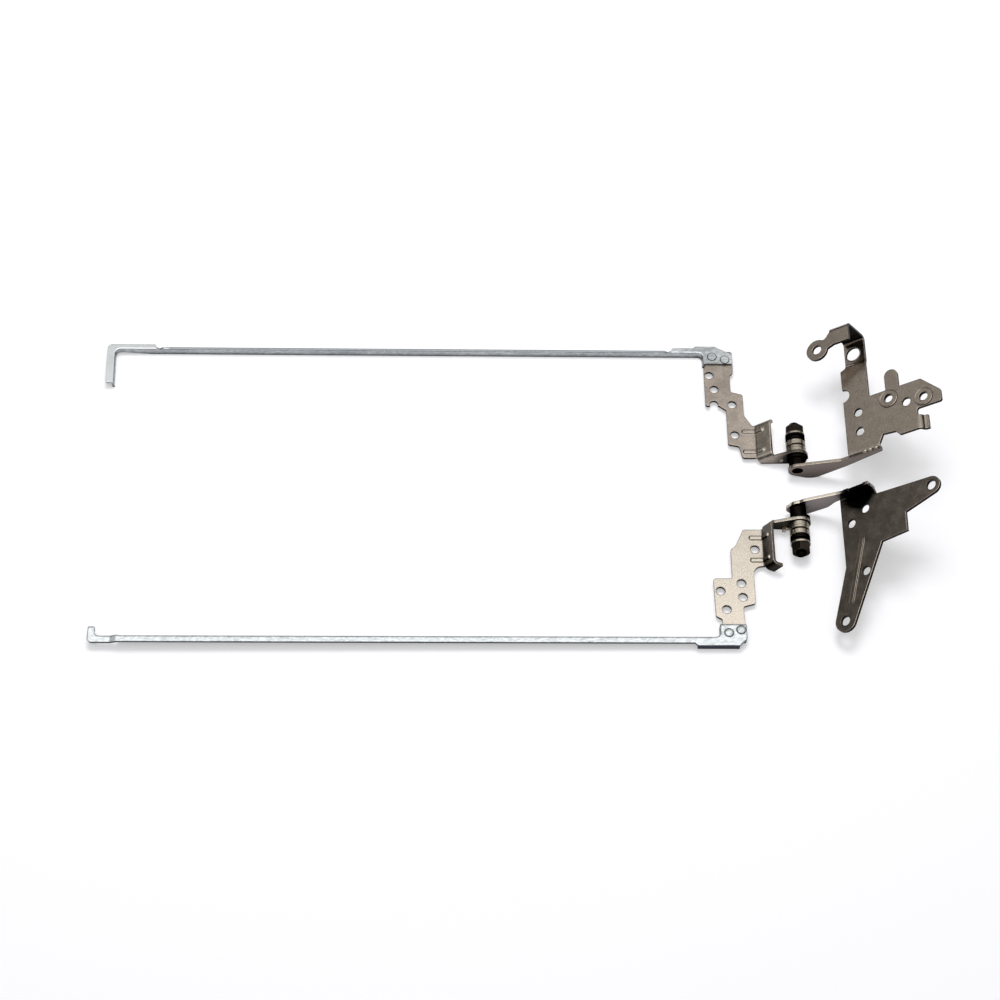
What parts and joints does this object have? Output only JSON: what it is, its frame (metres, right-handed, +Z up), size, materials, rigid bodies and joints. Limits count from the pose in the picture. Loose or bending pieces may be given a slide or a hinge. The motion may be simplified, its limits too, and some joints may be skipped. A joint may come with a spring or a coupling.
{
  "type": "laptop hinge pair",
  "caption": "Pair of laptop lid hinges, each with a folded base bracket, a friction barrel on a shaft, a stepped display bracket and a long hooked display rail.",
  "frame": {"origin": "middle of the pair's footprint, on the table it lies on", "axes": "+X along the rails from the hooks towards the base brackets, +Y from the left hinge to the right hinge along the shafts, +Z up"},
  "size_m": [0.27, 0.112, 0.0322],
  "materials": {
    "zinc_plate": "satin",
    "nickel_plate": "satin",
    "dark_nickel": "satin",
    "greased_steel": "satin",
    "black_oxide": "satin"
  },
  "bodies": {
    "display_sides": {"right_display_rail": "zinc_plate", "right_rail_rivets": "zinc_plate", "right_display_bracket": "nickel_plate", "right_friction_plate": "nickel_plate", "left_display_rail": "zinc_plate", "left_rail_rivets": "zinc_plate", "left_display_bracket": "nickel_plate", "left_friction_plate": "nickel_plate"},
    "right_base": {"right_base_bracket": "dark_nickel", "right_hinge_shaft": "greased_steel", "right_stop_washer": "black_oxide", "right_friction_washers": "nickel_plate", "right_pressure_washer": "nickel_plate", "right_spring_washers": "black_oxide", "right_nut_washer": "nickel_plate", "right_lock_nut": "black_oxide"},
    "left_base": {"left_base_bracket": "dark_nickel", "left_hinge_shaft": "greased_steel", "left_stop_washer": "black_oxide", "left_friction_washers": "nickel_plate", "left_pressure_washer": "nickel_plate", "left_spring_washers": "black_oxide", "left_nut_washer": "nickel_plate", "left_lock_nut": "black_oxide"}
  },
  "joints": [
    {"name": "right_hinge", "type": "hinge", "parent": "display_sides", "child": "right_base", "pos_m": [0.09203, 0.00579, 0.00432], "axis": [0, -1, 0], "range_deg": [-5, 120]},
    {"name": "left_hinge", "type": "hinge", "parent": "display_sides", "child": "left_base", "pos_m": [0.09113, -0.00721, 0.00432], "axis": [0, -1, 0], "range_deg": [-10, 115]}
  ]
}
